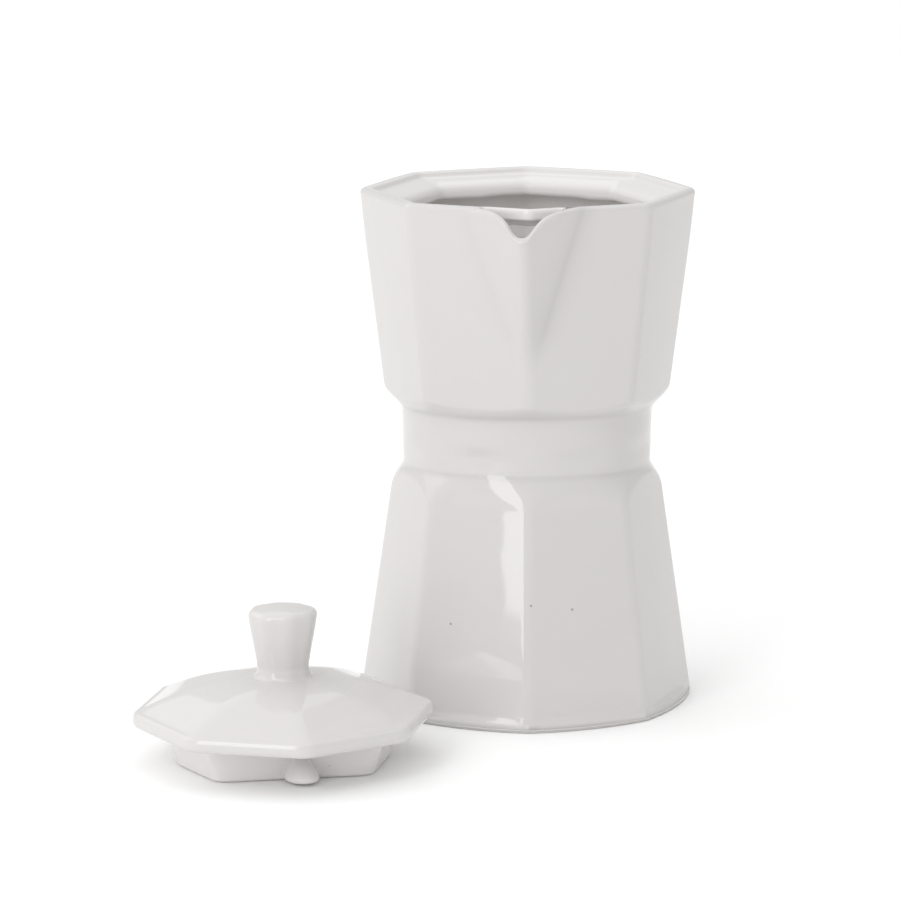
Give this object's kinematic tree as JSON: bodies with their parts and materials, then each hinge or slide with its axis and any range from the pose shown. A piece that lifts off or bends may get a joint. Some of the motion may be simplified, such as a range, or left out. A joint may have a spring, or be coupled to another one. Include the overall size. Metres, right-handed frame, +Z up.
{
  "type": "coffee pot",
  "caption": "Faceted porcelain coffee pot with a narrow round waist, an open pouring beak and a loose knobbed lid lying beside it.",
  "frame": {"origin": "centre of the pot's flat base, on the surface it stands on", "axes": "+Z up along the pot's axis, -Y towards the pouring beak, +X to the beak's right as it faces the viewer"},
  "size_m": [0.1737, 0.1817, 0.1648],
  "materials": {
    "pot_glaze": "gloss",
    "lid_glaze": "gloss"
  },
  "bodies": {
    "pot": {"pot_body": "pot_glaze"},
    "lid": {"lid": "lid_glaze"}
  },
  "joints": [
    {"name": "lid_lift", "type": "slide", "parent": "pot", "child": "lid", "axis": [0, 0, 1], "range_m": [0, 0.2]}
  ]
}
